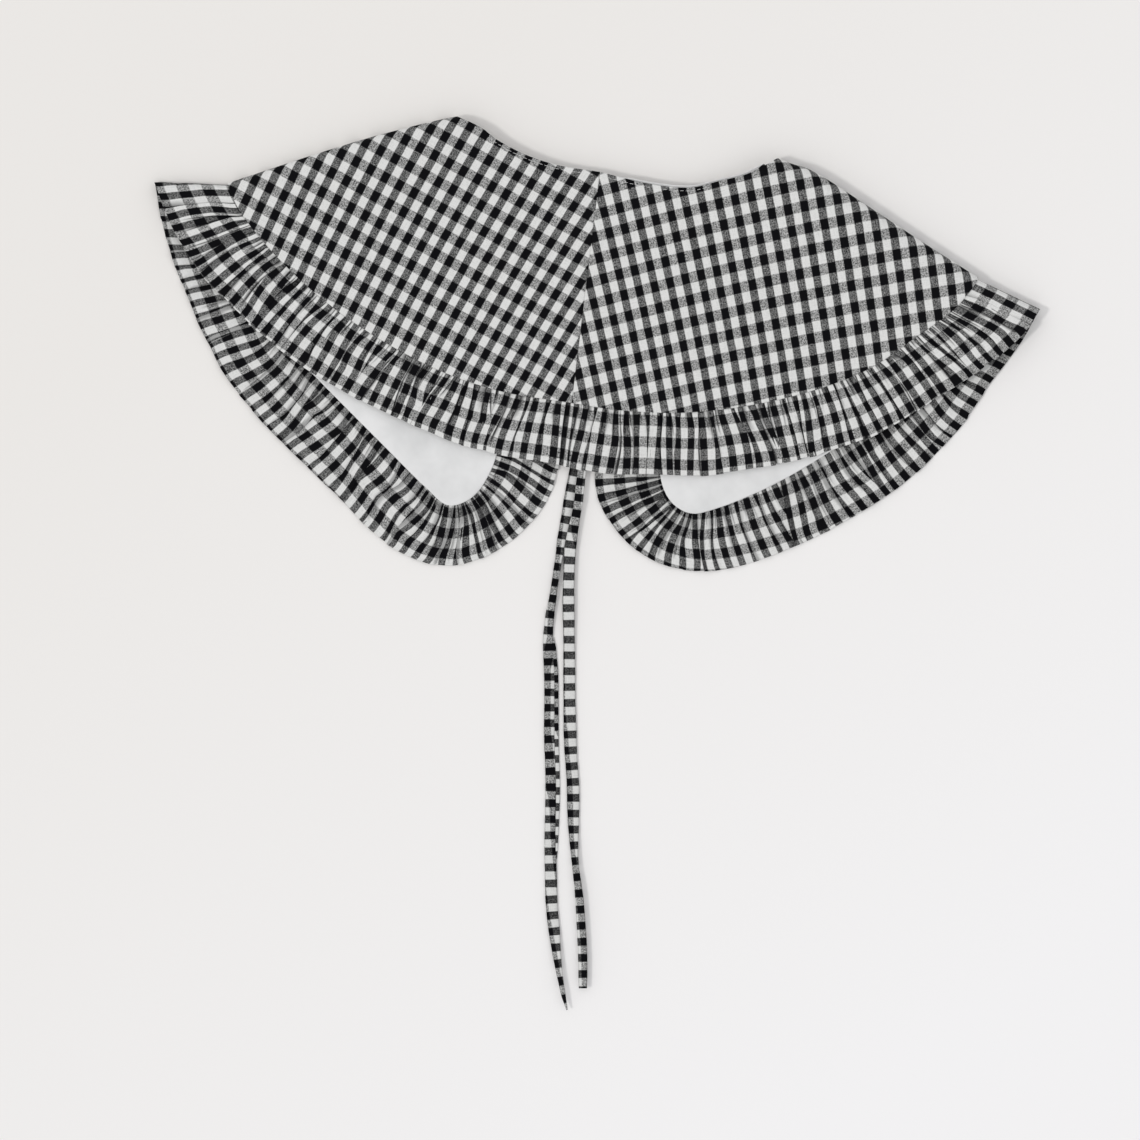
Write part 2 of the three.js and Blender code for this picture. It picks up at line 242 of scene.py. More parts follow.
RIGHT = Half(
    "right",
    1,
    slant=4,
    spring=5,
    bow=[(0, 0), (0.07, 1.5), (0.15, 3.9), (0.22, 4.2), (0.42, 3.1), (0.7, 1.3), (1, 0)],
    tip=(6, 42),
    checks=(18.06, 9.616, 0.475, -69.7, 12.95, 0.207),
    drape=(90, -0.04, 0, -0.6, -0.02, -0.14),
    first_check=-0.237,
    hem_rows=[
        (0, 0.75), (0.2, 0.65), (0.33, 0.45), (0.6, 0.42), (0.66, 0.7), (0.72, 1), (0.8, 1.25),
        (0.9, 1.42), (1, 1.5),
    ],
    neck=[
        (98.6, 18.1), (95.5, 15.9), (87.2, 10.2), (71.7, 3.8), (54.9, -2.5), (29.8, -3.5), (0.1, 0),
    ],
    seam=[
        (231.1, -38.6, 41), (221.3, -53.7, 39.1), (198.7, -75.2, 36.9), (173.9, -97, 37.2),
        (128.7, -119.7, 38), (71.3, -135.9, 37.6), (29.8, -139.7, 38.4), (0.1, -139, 38.4),
    ],
    front_neck=[(96, -5.8), (78, -30.2), (54, -48.7), (21.3, -58)],
    lobe=[
        (217.1, -75, 37.2), (197.9, -108.1, 38.4), (175.1, -132.9, 41), (129.3, -170.5, 39.5),
        (92.3, -191.9, 36.5), (78.9, -196, 34.2), (67, -191, 35.7), (58.9, -178.1, 39.1),
        (57, -155.1, 38.8), (53, -122.1, 38), (42.6, -94.1, 38), (28.9, -71.1, 38),
    ],
)


# Shader building
class Wiring:
    """Adds nodes to a tree, and joins them as they are made."""

    def __init__(self, tree):
        self.tree = tree

    def add(self, kind, settings=None, **inputs):
        node = self.tree.nodes.new(kind)
        for key, value in (settings or {}).items():
            setattr(node, key, value)
        for key, value in inputs.items():
            self.feed(node.inputs[key.replace("_", " ")], value)
        return node

    def feed(self, socket, value):
        if isinstance(value, bpy.types.NodeSocket):
            self.tree.links.new(value, socket)
        else:
            socket.default_value = value

    def math(self, operation, *values, clamp=False):
        node = self.tree.nodes.new("ShaderNodeMath")
        node.operation = operation
        node.use_clamp = clamp
        for socket, value in zip(node.inputs, values):
            self.feed(socket, value)
        return node.outputs[0]

    def stretched(self, vector, factors, start=None):
        """The vector times these factors, added to the start if there is one."""
        node = self.tree.nodes.new("ShaderNodeVectorMath")
        node.operation = "MULTIPLY" if start is None else "MULTIPLY_ADD"
        self.feed(node.inputs[0], vector)
        node.inputs[1].default_value = factors
        if start is not None:
            self.feed(node.inputs[2], start)
        return node.outputs[0]

    def place_on(self, map_name):
        return self.add("ShaderNodeUVMap", {"uv_map": map_name}).outputs[0]

    def group(self, tree, **inputs):
        return self.add("ShaderNodeGroup", {"node_tree": tree}, **inputs).outputs

    def mix(self, share, first, second):
        node = self.tree.nodes.new("ShaderNodeMix")
        node.data_type = "RGBA"
        self.feed(node.inputs["Factor"], share)
        colours = [socket for socket in node.inputs if socket.type == "RGBA"]
        self.feed(colours[0], first)
        self.feed(colours[1], second)
        return next(socket for socket in node.outputs if socket.type == "RGBA")

    def noise(self, vector, scale, detail=2.0, roughness=0.5):
        """A noise's value and colour."""
        return self.add(
            "ShaderNodeTexNoise", Vector=vector, Scale=scale, Detail=detail, Roughness=roughness
        ).outputs


def node_group(name, inputs, outputs):
    tree = bpy.data.node_groups.new(name, "ShaderNodeTree")
    for socket_name, kind, value in inputs:
        socket = tree.interface.new_socket(socket_name, in_out="INPUT", socket_type=kind)
        if value is not None:
            socket.default_value = value
    for socket_name, kind in outputs:
        tree.interface.new_socket(socket_name, in_out="OUTPUT", socket_type=kind)
    wiring = Wiring(tree)
    return tree, wiring, wiring.add("NodeGroupInput").outputs, wiring.add("NodeGroupOutput").inputs


def weave_group():
    """Plain weave. Vector counts threads both ways. Over is 1 where the lengthwise thread is on top."""
    tree, wires, given, result = node_group(
        "plain_weave",
        [("Vector", "NodeSocketVector", None)],
        [("Over", "NodeSocketFloat"), ("Height", "NodeSocketFloat"), ("Slub", "NodeSocketFloat")],
    )
    split = wires.add("ShaderNodeSeparateXYZ", Vector=given["Vector"])
    across = wires.math("SINE", wires.math("MULTIPLY", split.outputs[0], math.pi))
    along = wires.math("SINE", wires.math("MULTIPLY", split.outputs[1], math.pi))
    cross = wires.math("MULTIPLY", across, along)
    over = wires.math("MULTIPLY_ADD", cross, 1.6, 0.5, clamp=True)
    wires.feed(result["Over"], over)
    wires.feed(result["Height"], wires.math("ABSOLUTE", cross))
    first = wires.noise(wires.stretched(given["Vector"], (0.9, 0.06, 1)), 1.0)[0]
    second = wires.noise(wires.stretched(given["Vector"], (0.06, 0.9, 1)), 1.0)[0]
    wires.feed(result["Slub"], wires.math("SUBTRACT", wires.math("ADD", first, second), 1.0))
    return tree


def gingham_group(weave):
    """Vector counts repeats of the check both ways. Tone runs from 0, black, to 1, white."""
    tree, wires, given, result = node_group(
        "gingham",
        [("Vector", "NodeSocketVector", None), ("Mixed", "NodeSocketFloat", 1.0)],
        [("Color", "NodeSocketColor"), ("Height", "NodeSocketFloat")],
    )
    sway = wires.noise(given["Vector"], 0.9)["Color"]
    frayed = wires.noise(given["Vector"], 22.0, 1.0)["Color"]
    drift = wires.stretched(sway, (0.06, 0.05, 0), given["Vector"])
    edge = wires.stretched(frayed, (0.035, 0.03, 0), drift)
    split = wires.add("ShaderNodeSeparateXYZ", Vector=edge)

    def stripe(value):
        """1 on the black stripes, 0 between them."""
        fold = wires.math("PINGPONG", wires.math("ADD", value, 0.25), 0.5)
        return wires.math("MULTIPLY_ADD", wires.math("SUBTRACT", fold, 0.25), 22.0, 0.5, clamp=True)

    warp = stripe(split.outputs[0])
    weft = stripe(split.outputs[1])
    woven = wires.group(weave, Vector=wires.stretched(edge, GINGHAM_THREADS))
    fleck = wires.noise(given["Vector"], 13.5, 1.5, 0.6)[0]
    # White left showing where only the lengthwise stripe is black, and where only the crosswise one is
    dark = wires.math("MULTIPLY_ADD", woven["Over"], -0.24, 0.28)
    pale = wires.math("MULTIPLY_ADD", woven["Over"], 0.3, 0.235)
    uneven = wires.math("MULTIPLY", woven["Slub"], 0.7)
    spread = wires.math("MULTIPLY_ADD", wires.math("SUBTRACT", fleck, 0.5), 1.75, uneven)
    dark = wires.math("ADD", dark, wires.math("MULTIPLY", spread, 0.6))
    pale = wires.math("ADD", pale, spread)
    plain = wires.math("SUBTRACT", 1.0, weft)
    only_warp = wires.math(
        "MULTIPLY", wires.math("MULTIPLY", warp, plain), wires.math("MULTIPLY", dark, given["Mixed"])
    )
    clear = wires.math("SUBTRACT", 1.0, warp)
    only_weft = wires.math("MULTIPLY", wires.math("MULTIPLY", weft, clear), pale)
    patchy = wires.math("ADD", woven["Slub"], wires.math("MULTIPLY", spread, 0.8))
    white = wires.math("MULTIPLY_ADD", patchy, 0.22, 0.955)
    neither = wires.math("MULTIPLY", wires.math("MULTIPLY", plain, clear), white)
    tone = wires.math("ADD", wires.math("ADD", only_warp, only_weft), neither, clamp=True)
    wires.feed(result["Color"], wires.mix(tone, BLACK, WHITE))
    wires.feed(result["Height"], wires.math("MULTIPLY_ADD", woven["Slub"], 0.6, woven["Height"]))
    return tree


def matt_material(name, roughness, sheen, shine):
    material = bpy.data.materials.new(name)
    material.use_nodes = True
    tree = material.node_tree
    tree.nodes.clear()
    wires = Wiring(tree)
    shader = wires.add("ShaderNodeBsdfPrincipled")
    shader.inputs["Roughness"].default_value = roughness
    shader.inputs["Sheen Weight"].default_value = sheen
    shader.inputs["Sheen Roughness"].default_value = 0.45
    shader.inputs["Specular IOR Level"].default_value = shine
    output = wires.add("ShaderNodeOutputMaterial")
    tree.links.new(shader.outputs[0], output.inputs["Surface"])
    return material, wires, shader


def bump_into(wires, shader, height, distance, strength):
    bump = wires.add("ShaderNodeBump", Height=height, Distance=distance, Strength=strength)
    wires.feed(shader.inputs["Normal"], bump.outputs[0])


def gingham_material(name, gingham, mixed):
    """mixed says how much white shows between the black lengthwise threads; the ties' copy draws these
    squares darker. The painted_shade map paints shade into the colour: creases are darkened, because little
    light reaches between folds that lie this close, and so are the ruffles' seams and the ties' edges."""
    material, wires, shader = matt_material(name, 0.9, 0.02, 0.06)
    checks = wires.group(gingham, Vector=wires.place_on("fabric"), Mixed=mixed)
    # painted shade: the colour is darkened towards PAINTED_SHADE_COLOUR as far as the painted_shade map says
    depth = wires.add("ShaderNodeSeparateXYZ", Vector=wires.place_on("painted_shade")).outputs[0]
    shade = wires.math("MULTIPLY", depth, 0.92, clamp=True)
    wires.feed(shader.inputs["Base Color"], wires.mix(shade, checks["Color"], PAINTED_SHADE_COLOUR))
    bump_into(wires, shader, checks["Height"], 0.00012, 0.35)
    return material


def lining_material(weave):
    material, wires, shader = matt_material("white_lining_cotton", 0.9, 0.08, 0.15)
    pattern = wires.place_on("fabric")
    woven = wires.group(weave, Vector=wires.stretched(pattern, LINING_THREADS))
    # painted light and shade: a slow noise makes broad lighter and darker patches, for the facets of faint
    # wrinkles
    soft = wires.math("MULTIPLY_ADD", wires.noise(pattern, 0.32, 3.0, 0.6)[0], 2.6, -0.75)
    tone = wires.math("MULTIPLY_ADD", woven["Slub"], 0.2, soft, clamp=True)
    wires.feed(shader.inputs["Base Color"], wires.mix(tone, *LINING_SHADES))
    bump_into(wires, shader, woven["Height"], 0.0001, 0.25)
    return material


def thread_material():
    material, wires, shader = matt_material("white_sewing_thread", 0.6, 0.05, 0.3)
    here = wires.add("ShaderNodeTexCoord").outputs["Object"]
    twist = wires.add("ShaderNodeTexWave", Vector=here, Scale=900.0)
    wires.feed(shader.inputs["Base Color"], wires.mix(twist.outputs["Fac"], *THREAD_SHADES))
    bump_into(wires, shader, twist.outputs["Fac"], 0.00005, 0.3)
    return material


WEAVE = weave_group()
CHECKS = gingham_group(WEAVE)
GINGHAM = gingham_material("gingham_cotton", CHECKS, 1.0)
TIE_GINGHAM = gingham_material("gingham_cotton_rolled", CHECKS, 0.45)
LINING = lining_material(WEAVE)
THREAD = thread_material()


def add_object(name, data):
    thing = bpy.data.objects.new(name, data)
    bpy.context.collection.objects.link(thing)
    return thing


# Cloth from a grid
def cloth_mesh(name, points, fabric, material, painted_shade=None):
    """A surface from a grid of points, with its fabric coordinates as its UV map. Both are rows of columns.
    painted_shade says how much shade is painted into the colour at each point, from 0 to 1, mostly from how
    deep it lies in a fold, for a second map."""
    rows, columns = points.shape[:2]
    spots = place(points.reshape(-1, 3))
    weave = fabric.reshape(-1, 2)
    mesh = bpy.data.meshes.new(name)
    sheet = bmesh.new()
    bmesh.ops.create_grid(sheet, x_segments=columns - 1, y_segments=rows - 1, size=1)
    for vertex, spot in zip(sheet.verts, spots):
        vertex.co = spot
    deep = np.zeros(len(spots)) if painted_shade is None else painted_shade.reshape(-1)
    sheet.loops.layers.uv.new("fabric")
    sheet.loops.layers.uv.new("painted_shade")
    layer = sheet.loops.layers.uv["fabric"]
    folds = sheet.loops.layers.uv["painted_shade"]
    for face in sheet.faces:
        face.smooth = True
        for loop in face.loops:
            loop[layer].uv = weave[loop.vert.index]
            loop[folds].uv = (deep[loop.vert.index], 0)
    sheet.to_mesh(mesh)
    sheet.free()
    mesh.materials.append(material)
    return mesh


def cloth_sheet(name, points, fabric, material, thickness, painted_shade=None):
    piece = add_object(name, cloth_mesh(name, points, fabric, material, painted_shade))
    wall = piece.modifiers.new("wall", "SOLIDIFY")
    wall.thickness = thickness / 1000
    wall.offset = 0
    return piece


# Camera
VIEW_X = 11.2
VIEW_Y = -238.6
VIEW_WIDTH = 684.0
VIEW_DISTANCE = 5000.0
VIEW_TURN = 7  # degrees
SENSOR = 36.0

camera_data = bpy.data.cameras.new("camera")
camera_data.sensor_width = SENSOR
camera_data.lens = SENSOR * VIEW_DISTANCE / VIEW_WIDTH
camera = add_object("camera", camera_data)
camera.location = place((VIEW_X, VIEW_Y, VIEW_DISTANCE))
camera.rotation_euler = (0, 0, math.radians(VIEW_TURN))
bpy.context.scene.camera = camera

# Ties: each route is where the tie's middle line lies
TIE_ROUTES = {
    "left": [
        (-4.2, -63.7, 1.15), (1.8, -67.3, 1), (5.9, -72.5, 0.9), (7.9, -80, 0.9), (8.6, -90, 0.9),
        (9, -106, 0.9), (9.5, -134, 0.9), (9, -160, 0.9), (8, -180, 0.9), (6.6, -205, 0.9),
        (4.8, -226, 0.9), (3.4, -242, 0.9), (3.3, -262, 0.9), (4.6, -282, 0.9), (8.1, -303.4, 0.9),
        (12.7, -341, 0.9), (17, -369.5, 0.9), (20.7, -407.9, 0.9), (24.2, -436.1, 0.9),
        (28.5, -455.9, 0.9), (33.1, -474.8, 0.9), (38, -491, 0.9), (41.6, -500.6, 0.9),
    ],
    "right": [
        (24.2, -63.7, 1.25), (18.2, -67.3, 1.9), (14, -72.5, 2.6), (12.2, -80, 2.8), (12, -90, 2.8),
        (11.6, -106, 2.8), (10.8, -134, 2.8), (9.8, -160, 2.8), (9, -180, 2.8), (9.6, -202.5, 2.8),
        (10.2, -222, 2.8), (10.8, -240, 2.8), (12.4, -256, 2.7), (14.6, -272, 2.1), (17, -289.5, 1.3),
        (19.3, -307.9, 1.15), (24.7, -345.4, 1.15), (28.5, -365.3, 1.15), (32.4, -393.5, 1.15),
        (35.7, -412.5, 1.15), (40.3, -431.4, 1.15), (44, -450.3, 1.15), (47.1, -468.5, 1.15),
        (49.4, -486.6, 1.15),
    ],
}
# How the flattened tube changes along its length: y, width, thickness, how far it leans in degrees, how far
# the cloth has turned round the tube, and how far it lies above and beside its route
TIE_SHAPES = {
    "left": [
        (-60, 6.4, 1.6, 0, 4.35, 0, 0), (-172, 6.4, 1.6, 0, 4.35, 0, -1.2),
        (-197, 6.4, 1.6, 0, 4.25, 0, -1.6), (-210, 6.1, 1.7, 0, 3.65, 0, -1.3),
        (-222, 5.4, 1.9, -10, 2.55, 0.3, -1.2), (-232, 4.6, 2.2, -22, 1.85, 0.8, -0.4),
        (-245, 4.3, 2.4, -30, 0.65, 1.2, 0), (-257, 4.4, 2.3, -24, -0.15, 1, -0.2),
        (-266, 5.2, 2, -10, -2.65, 0.5, -0.9), (-280, 6, 1.7, 0, -3.35, 0, -1.4),
        (-290, 6.3, 1.6, 0, -1, 0, -1.4), (-300, 6.3, 1.6, 0, 1.6, 0, -1.4),
        (-331, 6.3, 1.6, 0, 1.7, 0, -1.4), (-340, 6.3, 1.6, 0, 0.95, 0, -1.4),
        (-349, 6.3, 1.6, 0, 0.1, 0, -1.4), (-368, 6.3, 1.6, 0, -1, 0, -1.4),
        (-377, 6.3, 1.6, 0, -2.9, 0, -1.4), (-386, 6.4, 1.6, 0, -3.85, 0, -1.3),
        (-396, 6.5, 1.6, 0, -4.25, 0, -1.1), (-406, 6.7, 1.6, 0, -5.15, 0, -0.8),
        (-416, 7.1, 1.6, 0, -6.05, 0, -0.3), (-425, 7.2, 1.6, 0, -7.05, 0, 0),
        (-434.5, 7.2, 1.6, 0, -8.45, 0, 0), (-444, 7, 1.6, 0, -8.95, 0.2, 0),
        (-453, 6.9, 1.6, 0, -9.95, 0.4, 0), (-462, 5.8, 1.7, -6, -10.05, 0.9, 0),
        (-472, 4.6, 1.8, -10, -10.25, 1.5, 0), (-482, 3.5, 1.8, -10, -10.35, 2.2, 0),
        (-492, 2.8, 1.5, -8, -10.95, 2.7, 0), (-501, 0.8, 0.6, -8, -11.25, 3, 0),
    ],
    "right": [
        (-60, 5.2, 1.6, 0, 1.65, 0, 0), (-165, 5.2, 1.6, 0, 1.65, 0.8, 2.2),
        (-197, 5.3, 1.7, 0, 1.45, 1.3, 1.9), (-206, 5.4, 1.7, 0, -0.45, 1.1, 1.1),
        (-216, 6.4, 1.6, 0, -3.35, 0.6, 0), (-226, 7, 1.6, 0, -7.55, 0, -0.6),
        (-240, 6.9, 1.6, 0, -7.65, 0, 0), (-280, 6.9, 1.6, 0, -7.75, 0, 0),
        (-290, 7.1, 1.6, 0, -8.15, 0, 0), (-318, 7.4, 1.5, 0, -8.25, 0, 0),
        (-327, 7.5, 1.5, 0, -8.85, 0, 0), (-336, 7.6, 1.5, 0, -9.85, 0, 0),
        (-346, 7.6, 1.5, 0, -10.05, 0, 0), (-355, 7.6, 1.5, 0, -10.55, 0, 0),
        (-375, 7.6, 1.5, 0, -10.9, 0, 0), (-387, 7, 1.5, 0, -10.75, 0, 0),
        (-396, 5.9, 1.6, -6, -10.45, 0.3, 0), (-405, 4.8, 1.9, -18, -10.45, 0.9, 0),
        (-413, 4.2, 2.2, -28, -11.15, 1.4, 0), (-423, 4.6, 2.2, -24, -14.35, 1.9, 0),
        (-433, 5.2, 2, -16, -14.55, 2.1, 0), (-442, 5.4, 1.9, -14, -15.25, 2, 0),
        (-455, 5.6, 1.8, -12, -15.75, 1.9, 0), (-480, 5.4, 1.7, -10, -15.75, 2.1, 0),
        (-487, 5, 1.3, -10, -15.75, 2.3, 0),
    ],
}
TIE_AROUND = 24
TIE_STEP = 1.2
TIE_FLOOR = 0.1  # the lowest that its skin lies
TIE_REPEAT = {"left": 9.6, "right": 9.5}
TIE_DARK_AT = {"left": -418.1, "right": -412.5}  # y of the middle of one dark stripe
# Where the cloth of the left tie is pulled out of step, by y, in repeats
TIE_PULL = [(-250, 0.18), (-275, 0.19), (-285, 0.26), (-294, 0.16), (-303, 0.11), (-330, 0)]
# Past this distance from the dark stripe the checks stand further apart, by so many repeats a millimetre
TIE_STRETCH = {"left": (55, 0.01), "right": (0, 0.0021)}
# The edge of the left tie is turned over for a stretch, and shows beside it: y, width, and how far it lies
# beside and above the route
TIE_EDGE = [
    (-280, 2.8, 1.8, 0),
    (-300, 3.2, 2.4, -0.2),
    (-350, 2.8, 2.9, -0.3),
    (-395, 2.2, 3, -0.4),
    (-417, 1.2, 2.9, -0.5),
]
TIE_EDGE_SKIN = [(-280, 0.05), (-332, 0.05), (-345, -6.3), (-417, -6.3)]
TIE_EDGE_THICK = 1.2
TIE_EDGE_CHECK = 0.07  # how far its check is ahead of the tie's, in repeats


def table_at(rows, y):
    """Each column of a table by y, at these y."""
    table = np.array(rows, float)
    return [np.interp(-y, -table[:, 0], column) for column in table.T[1:]]


def tube_grid(spine, width, thick, roll, skin, along):
    """A flattened tube round its middle line, and how many repeats round it the fabric is at each point."""
    ahead = unit(np.gradient(spine, axis=0))
    sideways = unit(np.cross(ahead, (0, 0, 1)))
    upward = np.cross(sideways, ahead)
    lean = np.radians(roll)[:, None]
    flat = sideways * np.cos(lean) + upward * np.sin(lean)
    rise = upward * np.cos(lean) - sideways * np.sin(lean)
    rows = []
    fabric = []
    walked = 0 * along
    last = None
    for step in range(TIE_AROUND + 1):
        turn = 2 * math.pi * step / TIE_AROUND
        out = abs(math.cos(turn)) ** 0.8 * math.copysign(1, math.cos(turn))
        up = abs(math.sin(turn)) ** 0.7 * math.copysign(1, math.sin(turn))
        soft = 1 + 0.14 * ripple(along, 0 * along + 9 * math.cos(turn), 9, 11)
        uneven = 1 + 0.03 * ripple(along, 0 * along, 13, 4)
        rows.append(
            spine + flat * (width * uneven)[:, None] / 2 * out + rise * (thick * soft)[:, None] / 2 * up
        )
        section = np.stack([width / 2 * out, thick / 2 * up])
        if last is not None:
            walked = walked + np.linalg.norm(section - last, axis=0)
        last = section
        fabric.append((walked + skin) / CHECK_LONG)
    points = np.array(rows)
    points[:, :, 2] = np.maximum(points[:, :, 2], TIE_FLOOR)
    return points, np.array(fabric)


def edge_shade(points):
    """The two long edges of a flattened tube turn away from the light."""
    turns = np.arange(TIE_AROUND + 1) * 2 * math.pi / TIE_AROUND
    # painted shade, darkest at the two edges; the whole tube is drawn a little darker too
    return np.broadcast_to((0.5 * np.abs(np.cos(turns)) ** 8)[:, None], points.shape[:2]) + 0.06


def tube_mesh(name, spine, width, thick, roll, skin, along, repeats):
    """A flattened tube in the ties' cloth. repeats counts the checks along it."""
    points, around = tube_grid(spine, width, thick, roll, skin, along)
    fabric = np.stack([np.broadcast_to(repeats, around.shape), around], axis=-1)
    mesh = cloth_mesh(name, points, fabric, TIE_GINGHAM, edge_shade(points))
    close_tube(mesh)
    return mesh


def tie_piece(side):
    route = Curve(TIE_ROUTES[side], fine=30, measured=3)
    shares = np.linspace(0, 1, int(route.length / TIE_STEP))
    spine = route.at(shares)
    along = shares * route.length
    width, thick, roll, skin, lift, aside = table_at(TIE_SHAPES[side], spine[:, 1])
    spine[:, 0] += aside
    spine[:, 2] += lift
    dark = along[np.argmin(abs(spine[:, 1] - TIE_DARK_AT[side]) + (along < 50) * 1000)]
    repeats = 0.25 + (along - dark) / TIE_REPEAT[side]
    if side == "left":
        repeats = repeats - table_at(TIE_PULL, spine[:, 1])[0]
    beyond, slower = TIE_STRETCH[side]
    repeats = repeats - slower * np.maximum(along - dark - beyond, 0)
    name = side + "_tie_tube"
    mesh = tube_mesh(name, spine, width, thick, roll, skin, along, repeats)
    if side == "left":
        repeats = (along - dark) / TIE_REPEAT[side] + TIE_EDGE_CHECK
        add_turned_edge(mesh, spine - np.outer(aside, (1, 0, 0)), along, repeats)
    return add_object(name, mesh), place(spine), route.length


def add_turned_edge(tie, spine, along, repeats):
    """Joins the narrow turned-over edge to the left tie's mesh."""
    part = (spine[:, 1] < TIE_EDGE[0][0]) & (spine[:, 1] > TIE_EDGE[-1][0])
    middle = spine[part]
    width, aside, lift = table_at(TIE_EDGE, middle[:, 1])
    middle[:, 0] += aside
    middle[:, 2] += lift
    ends = smooth((TIE_EDGE[0][0] - middle[:, 1]) / 6) * smooth((middle[:, 1] - TIE_EDGE[-1][0]) / 10)
    skin = table_at(TIE_EDGE_SKIN, middle[:, 1])[0]
    thick = TIE_EDGE_THICK * (0.4 + 0.6 * ends)
    width = width * (0.3 + 0.7 * ends)
    edge = tube_mesh("turned_edge", middle, width, thick, 0 * width, skin, along[part], repeats[part])
    both = bmesh.new()
    both.from_mesh(tie)
    both.from_mesh(edge)
    both.to_mesh(tie)
    both.free()
    bpy.data.meshes.remove(edge)


def close_tube(mesh):
    """Joins the long edges of a rolled-up sheet and closes its two ends."""
    tube = bmesh.new()
    tube.from_mesh(mesh)
    bmesh.ops.remove_doubles(tube, verts=tube.verts, dist=1e-6)
    ends = [edge for edge in tube.edges if edge.is_boundary]
    bmesh.ops.holes_fill(tube, edges=ends)
    bmesh.ops.recalc_face_normals(tube, faces=tube.faces)
    tube.to_mesh(mesh)
    tube.free()


for side_name in ("left", "right"):
    tie, tie_path, tie_length = tie_piece(side_name)
    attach(tie, "root")
    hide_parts(side_name + "_tie")


# The folded collar, shell and lining
BACK_COLUMNS = 84
FOLD_COLUMNS = 14
FRONT_COLUMNS = 120
BODY_ROWS = 46
EDGE_STEPS = (0, 0.1, 0.25, 0.45, 0.7, 1.1, 1.8, 2.8)
EDGE_REACH = 3  # how far from its edge the cloth is moved by what reach_at says


def collar_columns():
    """The columns of a wall, from the centre back over the fold to the front opening: the zone of each, and
    its share of the way from the fold, or its angle round it."""
    columns = [("back", 1 - step / HALF_SPAN) for step in EDGE_STEPS]
    start = columns[-1][1]
    columns += [("back", start * (1 - step / BACK_COLUMNS)) for step in range(1, BACK_COLUMNS)]
    for step in range(FOLD_COLUMNS + 1):
        columns.append(("fold", math.pi * (0.5 - step / FOLD_COLUMNS)))
    columns += [("front", step / FRONT_COLUMNS) for step in range(1, FRONT_COLUMNS + 1)]
    return columns


def folded_grid(half, depth_at, reach_at):
    """Points and flat positions of one wall. depth_at takes plan x, y, the distance to the nearest edge
    and the zone. reach_at says how far the neck edge stands out past its outline."""
    rows = []
    flats = []
    for zone, value in collar_columns():
        if zone == "fold":
            neck = half.fold_neck - half.fold_line * half.slant * (1 - math.cos(value))
            seam, share = half.fold_seam, 0
        else:
            share = value
            neck = (half.neck if zone == "back" else half.front_neck).at(share)[:2]
            seam = (half.seam if zone == "back" else half.front_seam).at(share)[:2]
        length = np.linalg.norm(seam - neck)
        edge = np.array(EDGE_STEPS) / length
        downs = np.concatenate([edge, np.linspace(edge[-1], 1 - edge[-1], BODY_ROWS)[1:-1], 1 - edge[::-1]])
        column = []
        flat_column = []
        for down in downs:
            base = neck + (seam - neck) * down
            hollow = half.hollow(down, share)
            bow = half.bulge((base - half.fold_neck) @ half.fold_line)
            if zone == "back" and down * length < EDGE_REACH:
                base = base + np.array((0, reach_at(base[0]) * (1 - down * length / EDGE_REACH)))
            gap = min(down * length, (1 - down) * length)
            if zone == "back":
                gap = min(gap, abs(base[0]) - 0.1)
            push = half.fold_out * bow * (1 - share) ** 4 - half.drawn_in(share)
            plan = base + push
            depth = depth_at(plan[0], plan[1], gap, zone, (1 - down) * length)
            if zone == "fold":
                radius = hollow / 2 + depth
                flat = plan + half.fold_out * radius * (math.pi / 2 - value)
                plan = plan + half.fold_out * radius * math.cos(value)
                z = STACK + hollow / 2 + radius * math.sin(value)
            elif zone == "back":
                flat = plan
                z = STACK + hollow - SAG * smooth(share) + depth
            else:
                inward = (base - half.fold_neck) @ half.fold_out
                flat = plan + half.fold_out * (math.pi * (hollow / 2 + depth) - 2 * inward)
                z = STACK - depth
            column.append((plan[0], plan[1], max(z, LOWEST)))
            flat_column.append(flat)
        rows.append(column)
        flats.append(flat_column)
    return np.array(rows), np.array(flats)


def rolled(gap):
    """How far the cloth has turned in at this distance from its edge."""
    if gap >= EDGE_ROLL:
        return 0.0
    inside = (EDGE_ROLL - gap) / EDGE_ROLL
    return EDGE_ROLL * (1 - math.sqrt(max(0.0, 1 - inside * inside)))


def shell_depth(x, y, gap, zone, to_seam):
    """How far the shell lies outside the hollow. It rolls in at its edges and puckers at the seam."""
    depth = SHELL_DEPTH - rolled(gap)
    if zone == "back":
        calm = smooth(gap / 10)
        depth += 0.22 * calm * ripple(x, y, 60, 3) + 0.1 * calm * ripple(x, y, 22, 8)
        depth += 0.16 * smooth(1 - to_seam / 9) * ripple(x, y, 6, 12) * smooth(gap / 1.5)
    return depth


def lining_depth(x, y, gap, zone, to_seam):
    """The same for the lining, which puckers where it shows, on the front."""
    depth = LINING_DEPTH + rolled(gap)
    if zone == "front":
        calm = smooth(gap / 6)
        depth -= 0.25 * calm * ripple(x, y, 38, 21)
        depth += 0.2 * smooth(1 - to_seam / 12) * ripple(x, y, 8, 33) * smooth(gap / 1.2)
    return max(depth, 0.05) if zone == "front" else depth


# The drape acts between these lines, and turns about the last one
DRAPE_X = 225
DRAPE_Y = (-140, 15)
DRAPE_MIDDLE = -60


